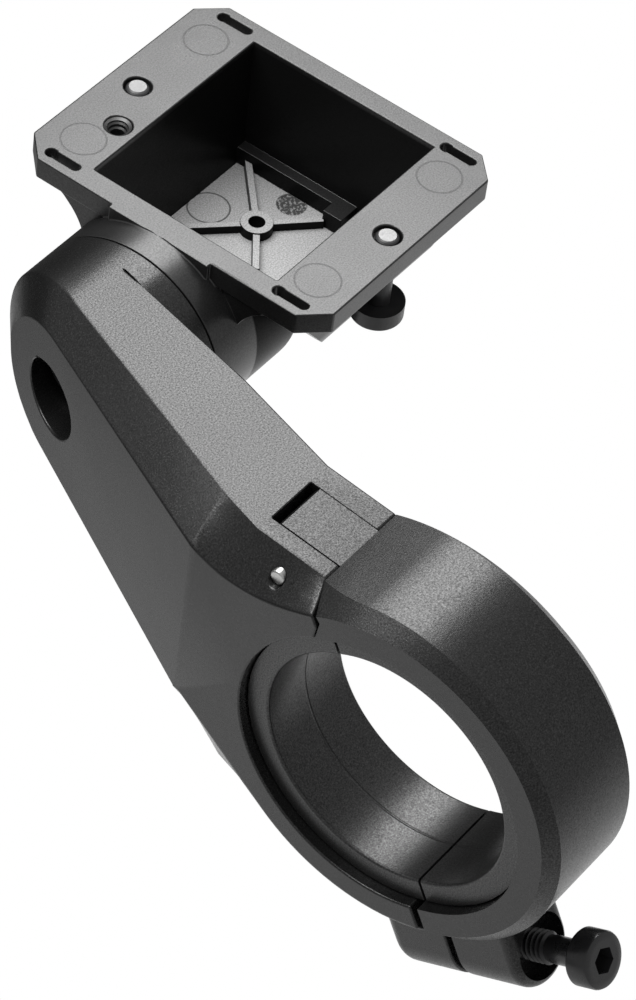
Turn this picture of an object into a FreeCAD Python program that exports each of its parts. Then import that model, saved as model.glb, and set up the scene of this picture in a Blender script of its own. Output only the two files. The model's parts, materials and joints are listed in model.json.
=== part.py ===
import FreeCAD, Part
import math
import os

# Display mount for a bicycle handlebar: a hinged bar clamp, an arm that runs
# forward and sideways from it, and a tilting tray that carries the display.
# Frame: origin at the centre of the bar bore, X along the bar, Y forward,
# Z up, square to the tray. All sizes are in millimetres.

V = FreeCAD.Vector

# Handlebar clamp
bar_radius = 15.9
liner_wall = 2.9
liner_play = 0.2
liner_length = 14.8
liner_round = 0.4
liner_split = 0.4
clamp_width = 17.0
ring_wall = 5.2
bracket_wall = 4.75
ring_bevel = 2.0
far_bevel = 2.0
crown_bevel = 1.2
hinge_bevel = 0.4
split_lean = 28.0
arm_split = 1.3
bracket_split = 0.2
bracket_stand_off = 1.13

# Hinge between arm and bracket
pin_y = 17.2
pin_drop = 3.1
pin_radius = 1.0
pin_start = -7.0
pin_end = 7.9
press_clearance = 0.03
running_clearance = 0.05
knuckle_radius = 4.3
knuckle_clearance = 0.25
tongue_start = -2.1
tongue_end = 5.0
tongue_side_clearance = 0.1
slot_root_y = 21.7
parting_y = 12.1
parting_gap = 0.15
lip_drop = 2.6
lip_back = 2.2

# Arm
barrel_y = 59.2
barrel_z = 9.0
barrel_radius = 13.4
barrel_bevel = 3.7
barrel_end = 20.4
facet_y = 21.9
valley_drop = 0.95
bend_y = 28.03
near_slope = 0.45
top_edge_at_bend = -2.63
top_edge_slope = 0.377
fork_bevel = 4.0
elbow_y = 26.8
elbow_z = -12.8
elbow_round = 8.0
face_elbow_y = 27.3
face_elbow_z = -6.5
face_elbow_round = 2.0
underside_bevel = 10.0
face_top_drop_at_bend = 4.1
face_valley_drop = 5.9
far_start_y = 21.9
far_mid_y = 36.8
far_mid_x = 12.7
far_slope = 0.21

# Clamp bosses and screw
boss_radius = 4.95
boss_drop = 29.0
screw_drop = 28.8
bracket_boss_length = 10.0
arm_boss_length = 10.8
bracket_boss_round = 1.5
arm_boss_round = 2.0
counterbore_radius = 4.1
counterbore_depth = 4.2
clamp_screw_radius = 2.0
clamp_screw_length = 13.9
clamp_screw_neck = 2.1
clamp_screw_neck_radius = 1.7
clamp_screw_head_radius = 3.5
clamp_screw_head_length = 4.0
clamp_screw_socket = 3.0
clamp_screw_backed_out = 8.0
screw_clearance = 0.2
clamp_nut_radius = 2.9
clamp_nut_length = 5.5
clamp_nut_inset = 1.0

# Tilt joint
tilt_head_radius = 4.25
tilt_head_length = 5.0
tilt_screw_radius = 2.5
tilt_screw_length = 12.0
tilt_socket = 4.0
tilt_counterbore_radius = 4.8
tilt_seat_x = 16.0
tilt_washer_radius = 4.6
tilt_washer_thickness = 0.6
tilt_nut_radius = 3.6
tilt_nut_length = 5.6
seam_gap = 0.2

# Tray
tray_offset = 4.53
tray_shift = 0.57
tray_length = 37.54
tray_width = 45.58
flange_thickness = 3.1
corner_cut = 3.26
near_rim = 3.17
far_rim = 2.92
rear_rim = 8.43
front_rim = 9.44
well_depth = 18.2
well_draft = 1.0
well_wall = 1.5
floor_thickness = 2.0
well_slope_drop = 3.4
well_slope_run = 12.2
body_corner = 5.0
barrel_stub_end = 38.5
stub_round = 3.0
gusset_reach = 5.6
gusset_length = 4.0
land_width = 15.0
land_step = 0.6

# Floor of the well, where ends and boss are shares of its length and width
floor_boss_share = (0.668, 0.629)
floor_rib_shares = ((0.97, 0.95), (0.416, 0.903), (0.461, 0.452), (0.868, 0.423))
floor_boss_radius = 2.1
floor_boss_hole = 1.05
floor_rib_width = 0.9
floor_rib_height = 1.4
ledge_width = 2.4
ledge_height = 2.6
ledge_length = 16.0
ledge_block_width = 4.2
ledge_block_length = 2.6

# Holes and slots of the tray flange, and its two screws
tray_screw_shift = 0.5
rear_screw_inset = 3.36
front_screw_inset = 4.02
tray_hole_radius = 1.75
tray_screw_radius = 1.45
tray_screw_head_radius = 3.35
tray_screw_head_length = 2.4
tray_screw_length = 10.7
tray_screw_socket = 2.0
spare_hole_run = 11.17
spare_hole_inset = 6.72
slot_width = 1.2
slot_length = 5.0
slot_head = 1.5
slot_side_inset = 1.97
slot_rear_inset = 5.46
slot_front_inset = 5.62

# Values that follow from the sizes above
near_x = -clamp_width / 2
far_x = clamp_width / 2
bore_radius = bar_radius + liner_wall + liner_play
ring_radius = bore_radius + ring_wall
bracket_radius = bore_radius + bracket_wall
face_radius = ring_radius - ring_bevel
top_z = barrel_z + barrel_radius
valley_z = top_z - valley_drop
pin_z = top_z - pin_drop
face_valley_z = top_z - face_valley_drop
pin_hole = pin_radius + press_clearance
lean = math.radians(split_lean)
# closing: unit direction across the split, from bracket to arm
# along: unit direction down the split, from bore centre to clamp screw
closing = (math.cos(lean), -math.sin(lean))
along = (-math.sin(lean), -math.cos(lean))
bracket_y = -closing[0] * bracket_stand_off
bracket_z = -closing[1] * bracket_stand_off
flange_z = top_z - flange_thickness
floor_z = top_z - well_depth
tray_start_y = barrel_y - tray_shift - tray_width / 2
tray_end_y = tray_start_y + tray_width
tray_near_x = barrel_end + tray_offset
tray_far_x = tray_near_x + tray_length
well_near_x = tray_near_x + near_rim
well_far_x = tray_far_x - far_rim
well_start_y = tray_start_y + rear_rim
well_end_y = tray_end_y - front_rim
tray_screw_x = tray_near_x + tray_length / 2 - tray_screw_shift
tray_screw_ys = (tray_start_y + rear_screw_inset, tray_end_y - front_screw_inset)
tray_barrel_x = barrel_end + seam_gap
x_axis = V(1, 0, 0)


def across(n, d, x=0.0):
    """Point at n along the closing direction and d down the split."""
    y = closing[0] * n + along[0] * d
    z = closing[1] * n + along[1] * d
    return V(x, y, z)


def on_circle(cy, cz, r, degrees):
    a = math.radians(degrees)
    return (cy + r * math.cos(a), cz + r * math.sin(a))


def tangent(py, pz, cy, cz, r, side):
    """Angle, in degrees, where a line from a point touches a circle."""
    away = math.degrees(math.atan2(pz - cz, py - cy))
    reach = min(1.0, r / math.hypot(py - cy, pz - cz))
    turn = math.degrees(math.acos(reach))
    return away + side * turn


def line(p, q):
    return Part.LineSegment(V(0, p[0], p[1]), V(0, q[0], q[1])).toShape()


def arc(cy, cz, r, start, end):
    """Arc in the side view from one angle to another, in degrees."""
    pts = [on_circle(cy, cz, r, a) for a in (start, (start + end) / 2, end)]
    return Part.Arc(*[V(0, y, z) for y, z in pts]).toShape()


def bend(p, q, slope_p, slope_q):
    """Smooth curve between two points that meets the given slopes."""
    third = (q[0] - p[0]) / 3
    poles = [p, (p[0] + third, p[1] + slope_p * third)]
    poles += [(q[0] - third, q[1] - slope_q * third), q]
    curve = Part.BezierCurve()
    curve.setPoles([V(0, y, z) for y, z in poles])
    return curve.toShape()


def ends(edge):
    a = edge.valueAt(edge.FirstParameter)
    b = edge.valueAt(edge.LastParameter)
    return a, b


def lift(edge, x, slope=0.0, from_y=0.0):
    """Move an edge of the side view onto a plane that slants along Y."""
    a, b = ends(edge)
    if isinstance(edge.Curve, (Part.Line, Part.LineSegment)):
        a = V(x + slope * (a.y - from_y), a.y, a.z)
        b = V(x + slope * (b.y - from_y), b.y, b.z)
        return Part.LineSegment(a, b).toShape()
    if slope == 0:
        return edge.translated(V(x, 0, 0))
    m = FreeCAD.Matrix()
    m.A12 = slope
    m.A14 = x - slope * from_y
    return edge.transformGeometry(m)


def closed(edges):
    return Part.Wire(Part.__sortEdges__(edges))


def prism(edges, x0, x1):
    """Solid between two X positions over a closed side-view outline."""
    face = Part.Face(closed([lift(e, x0) for e in edges]))
    return face.extrude(V(x1 - x0, 0, 0))


def polygon(points):
    last = points[1:] + points[:1]
    return [line(p, q) for p, q in zip(points, last)]


def rod(r, x0, x1, y=0.0, z=0.0):
    return Part.makeCylinder(r, x1 - x0, V(x0, y, z), x_axis)


def plate(points, z0, z1):
    """Solid between two heights over a plan outline of x, y points."""
    pts = [V(x, y, z0) for x, y in points]
    face = Part.Face(Part.makePolygon(pts + pts[:1]))
    return face.extrude(V(0, 0, z1 - z0))


def block(x0, x1, y0, y1, z0, z1):
    return Part.makeBox(x1 - x0, y1 - y0, z1 - z0, V(x0, y0, z0))


def edges_where(shape, test):
    return [e for e in shape.Edges if test(e)]


def tidy(shape):
    """One clean solid without leftover seams."""
    shape = shape.removeSplitter()
    if len(shape.Solids) == 1:
        return shape.Solids[0]
    return shape


def corner(p, q, r, radius):
    """Two lines p-q and q-r joined at q by an arc of the given radius."""
    a = V(0, p[0] - q[0], p[1] - q[1])
    b = V(0, r[0] - q[0], r[1] - q[1])
    half = a.getAngle(b) / 2
    run = radius / math.tan(half)
    a.normalize()
    b.normalize()
    s = V(0, *q) + a * run
    t = V(0, *q) + b * run
    middle = a + b
    middle.normalize()
    centre = V(0, *q) + middle * (radius / math.sin(half))
    m = centre - middle * radius
    first = line(p, (s.y, s.z))
    last = line((t.y, t.z), r)
    return [first, Part.Arc(s, m, t).toShape(), last]


# Outline of the arm, seen from the side

def barrel_touch(r, y, z):
    return tangent(y, z, barrel_y, barrel_z, r, 1)


def ring_touch(r, y, z):
    return tangent(y, z, 0, 0, r, -1)


def arm_outline():
    """Outer silhouette of the arm with a full disc where the ring is."""
    ring_angle = ring_touch(ring_radius, elbow_y, elbow_z)
    barrel_angle = barrel_touch(barrel_radius, elbow_y, elbow_z)
    ring_at = on_circle(0, 0, ring_radius, ring_angle)
    barrel_at = on_circle(barrel_y, barrel_z, barrel_radius, barrel_angle)
    valley = (parting_y, valley_z)
    facet = (facet_y, top_z)
    crown = (barrel_y, top_z)
    under = on_circle(0, 0, ring_radius, -150)
    edges = [line((0, 0), valley), line(valley, facet), line(facet, crown)]
    edges.append(arc(barrel_y, barrel_z, barrel_radius, 90, barrel_angle))
    edges += corner(barrel_at, (elbow_y, elbow_z), ring_at, elbow_round)
    edges.append(arc(0, 0, ring_radius, ring_angle, -150))
    edges.append(line(under, (0, 0)))
    return edges


def under_line_z(y, r, from_y, from_z):
    """Height of the underside line between elbow and barrel."""
    a = math.radians(barrel_touch(r, from_y, from_z) + 90)
    return from_z + math.tan(a) * (y - from_y)


def slope_line_z(y, r, from_y, from_z):
    """Height of the underside line between elbow and ring."""
    a = math.radians(ring_touch(r, from_y, from_z) + 90)
    return from_z + math.tan(a) * (y - from_y)


def bevelled(near_edges, near_plane, deep_edges, deep_plane, end_x):
    """Solid that starts on the near outline and widens to the deep one."""
    near = closed([lift(e, *near_plane) for e in near_edges])
    deep = closed([lift(e, *deep_plane) for e in deep_edges])
    taper = Part.makeLoft([near, deep], True, True)
    rest = prism(deep_edges, near_x - 60, end_x)
    x, slope, y = (tuple(deep_plane) + (0.0, 0.0))[:3]
    before = [(near_x - 80, y0) for y0 in (-80, 120)]
    before += [(x + slope * (y0 - y), y0) for y0 in (120, -80)]
    return taper.fuse(rest.cut(plate(before, -80, 80)))


def arm_front():
    """Slanted part of the arm, from its bend to the barrel."""
    face_r = barrel_radius - barrel_bevel
    face_z = top_z - face_top_drop_at_bend
    face_angle = barrel_touch(face_r, face_elbow_y, face_elbow_z)
    body_angle = barrel_touch(barrel_radius, elbow_y, elbow_z)
    face_low = under_line_z(bend_y, face_r, face_elbow_y, face_elbow_z)
    deep_low = face_low - underside_bevel
    face_at = on_circle(barrel_y, barrel_z, face_r, face_angle)
    body_at = on_circle(barrel_y, barrel_z, barrel_radius, body_angle)
    near = [line((bend_y, face_z), (barrel_y, barrel_z + face_r))]
    near.append(arc(barrel_y, barrel_z, face_r, 90, face_angle))
    near.append(line(face_at, (bend_y, face_low)))
    near.append(line((bend_y, face_low), (bend_y, face_z)))
    deep = [line((bend_y, top_z), (barrel_y, top_z))]
    deep.append(arc(barrel_y, barrel_z, barrel_radius, 90, body_angle))
    deep.append(line(body_at, (bend_y, deep_low)))
    deep.append(line((bend_y, deep_low), (bend_y, top_z)))
    near_plane = (near_x, near_slope, bend_y)
    deep_plane = (top_edge_at_bend, top_edge_slope, bend_y)
    return bevelled(near, near_plane, deep, deep_plane, barrel_end + 5)


def arm_middle():
    """Short length between the bend and the fork."""
    face_r = barrel_radius - barrel_bevel
    face_z = top_z - face_top_drop_at_bend
    face_low = under_line_z(bend_y, face_r, face_elbow_y, face_elbow_z)
    face_in = slope_line_z(facet_y, face_radius, face_elbow_y, face_elbow_z)
    steep = underside_bevel
    near = [bend((facet_y, face_valley_z), (bend_y, face_z), 0.05, 0.45)]
    near.append(line((bend_y, face_z), (bend_y, face_low)))
    near += corner((bend_y, face_low), (face_elbow_y, face_elbow_z),
                   (facet_y, face_in), face_elbow_round)
    near.append(line((facet_y, face_in), (facet_y, face_valley_z)))
    n1, n2 = ends(near[3])
    deep_in = (facet_y, face_in - steep)
    deep_out = (bend_y, face_low - steep)
    deep_a = (n1.y, n1.z - steep)
    deep_b = (n2.y, n2.z - steep)
    deep = [line((facet_y, top_z), (bend_y, top_z))]
    deep.append(line((bend_y, top_z), deep_out))
    deep.append(line(deep_out, deep_a))
    deep.append(line(deep_a, deep_b))
    deep.append(line(deep_b, deep_in))
    deep.append(line(deep_in, (facet_y, top_z)))
    deep_x = near_x + fork_bevel
    slope = (top_edge_at_bend - deep_x) / (bend_y - facet_y)
    return bevelled(near, (near_x,), deep, (deep_x, slope, facet_y),
                    barrel_end + 5)


def arm_rear():
    """Fork and ring half, behind the facet line.

    Its two spokes meet at the root, past those of the outline, so that
    no two faces fall together where the parts are cut.
    """
    touch = ring_touch(face_radius, face_elbow_y, face_elbow_z)
    face_in = slope_line_z(facet_y, face_radius, face_elbow_y, face_elbow_z)
    steep = underside_bevel
    wide = face_radius + fork_bevel
    left = on_circle(0, 0, face_radius, 62)
    root = (-2, -1)
    end = -153
    near = [bend(left, (facet_y, face_valley_z), -0.5, 0.05)]
    near.append(line((facet_y, face_valley_z), (facet_y, face_in)))
    near.append(line((facet_y, face_in), on_circle(0, 0, face_radius, touch)))
    near.append(arc(0, 0, face_radius, touch, end))
    near.append(line(on_circle(0, 0, face_radius, end), root))
    near.append(line(root, left))
    run = (facet_y - left[0]) / (facet_y - parting_y)
    high = (left[0], top_z - valley_drop * run)
    deep = [line(high, (facet_y, top_z))]
    deep.append(line((facet_y, top_z), (facet_y, face_in - steep)))
    deep.append(line((facet_y, face_in - steep), on_circle(0, 0, wide, touch)))
    deep.append(arc(0, 0, wide, touch, end))
    deep.append(line(on_circle(0, 0, wide, end), root))
    deep.append(line(root, high))
    return bevelled(near, (near_x,), deep, (near_x + fork_bevel,),
                    barrel_end + 5)


def arm_far_side():
    """Plan outline of the arm, that widens towards the barrel."""
    end_y = barrel_y + barrel_radius
    end_x = far_mid_x + far_slope * (end_y - far_mid_y)
    low = near_x - 5
    return [(low, -60), (far_x, -60), (far_x, far_start_y),
            (far_mid_x, far_mid_y), (end_x, end_y + 1), (low, end_y + 1)]


def arm_blank():
    slab = prism(arm_outline(), near_x - 2, barrel_end + 5)
    slab = slab.common(plate(arm_far_side(), -60, 60))
    barrel = rod(barrel_radius, near_x - 2, barrel_end, barrel_y, barrel_z)
    return slab.fuse(barrel)


def bracket_side():
    """Side-view region that belongs to the bracket, not to the arm."""
    lip = (parting_y - lip_back, valley_z - lip_drop)
    out = 6.0
    top = (parting_y + out, valley_z + out)
    inner = slope_point(lip)
    start = across(arm_split, 0)
    low = across(arm_split, 60)
    return [top, (parting_y, valley_z), lip, inner, (start.y, start.z),
            (low.y, low.z), (-90, low.z), (-90, top[1])]


def slope_point(lip):
    """Where the short parting line below the lip reaches the bore."""
    return (lip[0] + 0.42, math.sqrt(bore_radius ** 2 - (lip[0] + 0.42) ** 2) - 0.3)


def boss(n0, n1, rounding):
    """Screw boss of U section between two positions across the split."""
    r = boss_radius
    top = bore_radius - 1
    pts = [across(n0, top, -r), across(n0, boss_drop, -r)]
    mid = across(n0, boss_drop + r, 0)
    low = [across(n0, boss_drop, r), across(n0, top, r)]
    edges = [Part.LineSegment(pts[0], pts[1]).toShape()]
    edges.append(Part.Arc(pts[1], mid, low[0]).toShape())
    edges.append(Part.LineSegment(low[0], low[1]).toShape())
    edges.append(Part.LineSegment(low[1], pts[0]).toShape())
    face = Part.Face(closed(edges))
    out = V(0, *closing)
    solid = face.extrude(out * (n1 - n0))
    outer = n0 if abs(n0) > abs(n1) else n1

    def on_rim(e):
        c = e.CenterOfMass
        n = c.y * closing[0] + c.z * closing[1]
        d = c.y * along[0] + c.z * along[1]
        return abs(n - outer) < 0.01 and d > top + 0.5

    return solid.makeFillet(rounding, edges_where(solid, on_rim))


def screw_rod(r, n0, n1):
    out = V(0, *closing)
    return Part.makeCylinder(r, n1 - n0, across(n0, screw_drop), out)


def slot_cut():
    """Room in the arm's fork for the bracket's tongue."""
    x0 = tongue_start - tongue_side_clearance
    x1 = tongue_end + tongue_side_clearance
    r = knuckle_radius + knuckle_clearance
    cut = rod(r, x0, x1, pin_y, pin_z)
    high = top_z + 5
    cut = cut.fuse(block(x0, x1, -5, pin_y, pin_z - r, high))
    return cut.fuse(block(x0, x1, pin_y - 1, slot_root_y, pin_z, high))


def make_arm():
    arm = arm_blank()
    shell = arm_front().fuse([arm_middle(), arm_rear()])
    arm = arm.common(shell)
    arm = arm.fuse(boss(arm_split, arm_boss_length, arm_boss_round))
    region = prism(polygon(bracket_side()), near_x - 5, far_x + 30)
    arm = arm.cut([region, rod(bore_radius, -40, 40), slot_cut()])
    pin = rod(pin_hole, pin_start, pin_end, pin_y, pin_z)
    mouth = rod(pin_hole, near_x - 1, pin_start, pin_y, pin_z)
    nut_end = arm_split + clamp_nut_inset + clamp_nut_length
    nut = screw_rod(clamp_nut_radius, arm_split - 1, nut_end)
    tail = screw_rod(clamp_screw_radius + screw_clearance, nut_end - 1,
                     nut_end + 1)
    head = rod(tilt_counterbore_radius, -20, tilt_seat_x, barrel_y, barrel_z)
    shank = rod(tilt_screw_radius + screw_clearance, tilt_seat_x - 1,
                barrel_end + 1, barrel_y, barrel_z)
    return tidy(arm.cut([pin, mouth, nut, tail, head, shank]))


def bracket_rim(face_r, face_hinge, deep_hinge, root, end):
    """Clamp half with one bevelled rim, that changes towards the hinge.

    Root is where the two spokes meet inside the bore, and end the angle
    of the lower spoke, which the closing plane cuts away later.
    """
    c = (bracket_y, bracket_z)
    turn = 118.0
    outlines = []
    for r, hinge in ((face_r, face_hinge), (face_r + fork_bevel, deep_hinge)):
        beyond, seat, crown = hinge
        last = on_circle(c[0], c[1], r, turn)
        low = on_circle(c[0], c[1], r, end)
        top = Part.Arc(V(0, *seat), V(0, *crown), V(0, *last)).toShape()
        outlines.append([line(beyond, seat), top, arc(c[0], c[1], r, turn, end),
                         line(low, root), line(root, beyond)])
    return bevelled(outlines[0], (near_x,), outlines[1],
                    (near_x + fork_bevel,), far_x + 1)


def bracket_near_rim():
    c = (bracket_y, bracket_z)
    face = [on_circle(c[0], c[1], face_radius, a) for a in (48, 60, 89)]
    seat = (parting_y + 0.5, valley_z + 0.1)
    beyond = (seat[0] + 3.4, seat[1] - 1)
    crown = on_circle(c[0], c[1], face_radius + 3.1, 89)
    return bracket_rim(face_radius, face, (beyond, seat, crown), c, 255)


def bracket_far_rim():
    """The far rim is the near one mirrored, with its own bevel widths."""
    c = (bracket_y, bracket_z)
    crown = on_circle(c[0], c[1], bracket_radius - crown_bevel, 91)
    seat = (parting_y + 0.5, valley_z - hinge_bevel)
    beyond = (seat[0] + 3.4, seat[1] - 1)
    face = (beyond, seat, crown)
    deep = [(y, z + fork_bevel) for y, z in face]
    root = (c[0] + 2, c[1] - 1.5)
    rim = bracket_rim(bracket_radius - far_bevel, face, deep, root, 257)
    return rim.mirror(V(0, 0, 0), x_axis)


def bracket_slab():
    """Clamp half between its two flat faces, with a flat top to the hinge."""
    c = (bracket_y, bracket_z)
    touch = tangent(parting_y, valley_z, c[0], c[1], bracket_radius, 1)
    joint = on_circle(c[0], c[1], bracket_radius, touch)
    slope = min(0, (valley_z - joint[1]) / (parting_y - joint[0]))
    beyond = (parting_y + 1, valley_z + slope)
    root = (parting_y + 4, 0)
    low = on_circle(c[0], c[1], bracket_radius, 258)
    outline = [arc(c[0], c[1], bracket_radius, touch, 258)]
    outline += [line(joint, beyond), line(beyond, root), line(root, (0, 0))]
    outline.append(line((0, 0), low))
    return prism(outline, near_x, far_x)


def make_bracket():
    c = (bracket_y, bracket_z)
    body = bracket_slab().common(bracket_near_rim()).common(bracket_far_rim())
    mate = prism(polygon(bracket_side()), near_x - 2, far_x + 2)
    mate.translate(V(0, -parting_gap, 0))
    body = body.common(mate)
    body = body.fuse(boss(-bracket_boss_length, bracket_split,
                          bracket_boss_round))
    body = body.fuse(make_tongue())
    over = across(bracket_split, 14)
    past = [(over.y, over.z)]
    for n, d in ((bracket_split, 60), (60, 60), (60, 14)):
        p = across(n, d)
        past.append((p.y, p.z))
    body = body.cut(prism(polygon(past), -20, 20))
    bore = rod(bore_radius, -40, 40, c[0], c[1])
    pin = rod(pin_radius + running_clearance, -20, 20, pin_y, pin_z)
    seat_n = -bracket_boss_length + counterbore_depth
    head = screw_rod(counterbore_radius, -60, seat_n)
    shank = screw_rod(clamp_screw_radius + screw_clearance, -60, 5)
    return tidy(body.cut([bore, rod(bore_radius, -40, 40), pin, head, shank]))


def make_tongue():
    """Hinge tongue with a round knuckle about the pin."""
    top = (facet_y, top_z)
    slope = valley_drop / (facet_y - parting_y)
    left = parting_y - 2.2
    low = pin_z - knuckle_radius
    roof = [(left, valley_z - slope * 2.2 - 0.25), (parting_y, valley_z), top]
    pts = roof + [(facet_y, pin_z), (pin_y, pin_z), (pin_y, low), (left, low)]
    full = prism(polygon(pts), tongue_start, tongue_end)
    keep = rod(knuckle_radius, tongue_start, tongue_end, pin_y, pin_z)
    keep = keep.fuse(block(tongue_start, tongue_end, left, pin_y, low, top_z))
    lower = rod(knuckle_radius, tongue_start, tongue_end, pin_y, pin_z)
    roofed = [(left, roof[0][1]), (parting_y, valley_z), top,
              (facet_y, 0), (left, 0)]
    lower = lower.common(prism(polygon(roofed), tongue_start, tongue_end))
    return full.common(keep).fuse(lower)


def make_liner(cy, cz, keep_arm):
    """Half of the soft shell between bar and clamp."""
    outer = bar_radius + liner_wall
    half = liner_length / 2
    ring = rod(outer, -half, half, cy, cz)
    ring = ring.cut(rod(bar_radius, -half - 1, half + 1, cy, cz))
    rims = edges_where(ring, lambda e: abs(abs(e.CenterOfMass.x) - half) < 0.01
                       and e.Length < 2 * math.pi * (bar_radius + 0.5))
    ring = ring.makeFillet(liner_round, rims)
    gap = liner_split / 2
    pts = []
    side = 1 if keep_arm else -1
    for n, d in ((gap, -60), (60, -60), (60, 60), (gap, 60)):
        p = across(side * n, d)
        pts.append((p.y, p.z))
    return tidy(ring.common(prism(polygon(pts), -20, 20)))


def hexagon(flats, start, length, axis, side):
    """Prism with a regular six-sided section."""
    r = flats / math.sqrt(3)
    across_axis = axis.cross(side)
    pts = []
    for i in range(6):
        a = math.radians(60 * i)
        pts.append(start + side * (r * math.cos(a)) + across_axis * (r * math.sin(a)))
    face = Part.Face(Part.makePolygon(pts + pts[:1]))
    return face.extrude(axis * length)


def make_screw(start, axis, side, head, shank, flats, depth, neck=(0, 0)):
    """Cap screw, whose head, neck and shank are given as radius and length."""
    top = Part.makeCylinder(head[0], head[1], start, axis)
    rim = edges_where(top, lambda e: e.isClosed() and
                      (e.CenterOfMass - start).Length < 0.01)
    top = top.makeFillet(0.4, rim)
    under = start + axis * head[1]
    tip = under + axis * shank[1]
    rod_start = under + axis * (neck[1] or -0.5)
    stem = Part.makeCylinder(shank[0], (tip - rod_start).Length, rod_start, axis)
    rims = edges_where(stem, lambda e: e.isClosed() and
                       (e.CenterOfMass - tip).Length < 0.01)
    screw = top.fuse(stem.makeChamfer(0.35, rims))
    if neck[1]:
        screw = screw.fuse(Part.makeCylinder(neck[0], neck[1] + 1,
                                             under - axis * 0.5, axis))
    return tidy(screw.cut(hexagon(flats, start - axis * 0.01, depth, axis, side)))


def make_clamp_screw():
    out = V(0, *closing)
    seat_n = -bracket_boss_length + counterbore_depth
    start = seat_n - clamp_screw_backed_out - clamp_screw_head_length
    return make_screw(across(start, screw_drop), out, x_axis,
                      (clamp_screw_head_radius, clamp_screw_head_length),
                      (clamp_screw_radius, clamp_screw_length),
                      clamp_screw_socket, 2.2,
                      (clamp_screw_neck_radius, clamp_screw_neck))


def make_clamp_nut():
    start = arm_split + clamp_nut_inset
    nut = screw_rod(clamp_nut_radius - press_clearance, start,
                    start + clamp_nut_length)
    return nut.cut(screw_rod(clamp_screw_radius + running_clearance,
                             start - 1, start + clamp_nut_length + 1))


def make_pin():
    pin = rod(pin_radius, pin_start + 0.3, pin_end - 0.1, pin_y, pin_z)
    rims = edges_where(pin, lambda e: e.isClosed())
    return pin.makeFillet(0.25, rims)


def make_tilt_screw():
    start = tilt_seat_x - tilt_washer_thickness - tilt_head_length
    return make_screw(V(start, barrel_y, barrel_z), x_axis, V(0, 1, 0),
                      (tilt_head_radius, tilt_head_length),
                      (tilt_screw_radius, tilt_screw_length), tilt_socket, 2.8)


def make_tilt_washer():
    x0 = tilt_seat_x - tilt_washer_thickness
    ring = rod(tilt_washer_radius, x0, tilt_seat_x, barrel_y, barrel_z)
    hole = tilt_screw_radius + screw_clearance
    return ring.cut(rod(hole, x0 - 1, tilt_seat_x + 1, barrel_y, barrel_z))


def make_tilt_nut():
    x1 = well_near_x - 0.5
    x0 = x1 - tilt_nut_length
    nut = rod(tilt_nut_radius - press_clearance, x0, x1, barrel_y, barrel_z)
    hole = tilt_screw_radius + running_clearance
    return nut.cut(rod(hole, x0 - 1, x1 + 1, barrel_y, barrel_z))


def well_slope(x0, z0):
    """Wedge under the slanted near end of the well."""
    rise = well_depth - well_slope_drop
    pts = [(x0 - 30, z0), (x0, z0), (x0 + well_slope_run, z0 - rise),
           (x0 + well_slope_run * 2, z0 - rise * 2), (x0 - 30, z0 - rise * 2)]
    wire = [V(x, tray_start_y, z) for x, z in pts]
    face = Part.Face(Part.makePolygon(wire + wire[:1]))
    return face.extrude(V(0, tray_width, 0))


def make_well():
    """Hollow of the tray, with drafted walls."""
    x0, x1, y0, y1 = well_near_x, well_far_x, well_start_y, well_end_y
    sections = []
    for z, inset in ((top_z, 0.0), (floor_z, well_draft)):
        pts = [V(x0, y0 + inset, z), V(x1 - inset, y0 + inset, z),
               V(x1 - inset, y1 - inset, z), V(x0, y1 - inset, z)]
        sections.append(Part.makePolygon(pts + pts[:1]))
    well = Part.makeLoft(sections, True, True)
    mouth = block(x0, x1, y0, y1, top_z, top_z + 2)
    well = well.fuse(mouth)
    return well.cut(well_slope(x0, top_z - well_slope_drop))


def tray_body():
    """Outside of the well below the flange."""
    x0 = well_near_x - well_wall
    x1 = well_far_x + well_wall
    y0 = well_start_y - well_wall
    y1 = well_end_y + well_wall
    low = floor_z - floor_thickness
    body = block(x0, x1, y0, y1, low, flange_z + 0.5)
    lows = edges_where(body, lambda e: abs(e.CenterOfMass.z - low) < 0.01 and
                       abs(e.tangentAt(e.FirstParameter).x) > 0.9)
    body = body.makeFillet(body_corner, lows)
    steep = (well_depth - well_slope_drop) / well_slope_run
    drop = well_slope_drop + math.hypot(1, steep) - well_wall * steep
    return body.cut(well_slope(x0, top_z - drop))


def gusset():
    """Concave shoulders that carry the flange on the barrel stub."""
    r = gusset_reach
    cut = barrel_z + barrel_radius * 0.45
    y_in = math.sqrt(barrel_radius ** 2 - (cut - barrel_z) ** 2)
    edges = []
    for side in (-1, 1):
        inner = (barrel_y + side * y_in, cut)
        outer = (barrel_y + side * (y_in + r), flange_z + 0.3)
        knee = (barrel_y + side * (y_in + r * 0.36), flange_z - r * 0.27)
        edges.append(Part.Arc(V(0, *inner), V(0, *knee), V(0, *outer)).toShape())
    left = ends(edges[0])
    right = ends(edges[1])
    edges.append(Part.LineSegment(left[0], right[0]).toShape())
    edges.append(Part.LineSegment(left[1], right[1]).toShape())
    return prism(edges, tray_near_x + 0.4, tray_near_x + 0.4 + gusset_length)


def slot_shape(x, y):
    """Keyed slot through the flange."""
    z = flange_z - 1
    h = flange_thickness + 2
    r = slot_width / 2
    a = y - slot_length / 2 + r
    b = y + slot_length / 2 - slot_head / 2
    cut = block(x - r, x + r, a, b, z, z + h)
    cut = cut.fuse(Part.makeCylinder(r, h, V(x, a, z)))
    return cut.fuse(Part.makeCylinder(slot_head / 2, h, V(x, b, z)))


def in_well(share):
    """Plan position given as shares of the well's length and width."""
    x = well_near_x + share[0] * (well_far_x - well_near_x)
    y = well_start_y + share[1] * (well_end_y - well_start_y)
    return x, y


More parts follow.
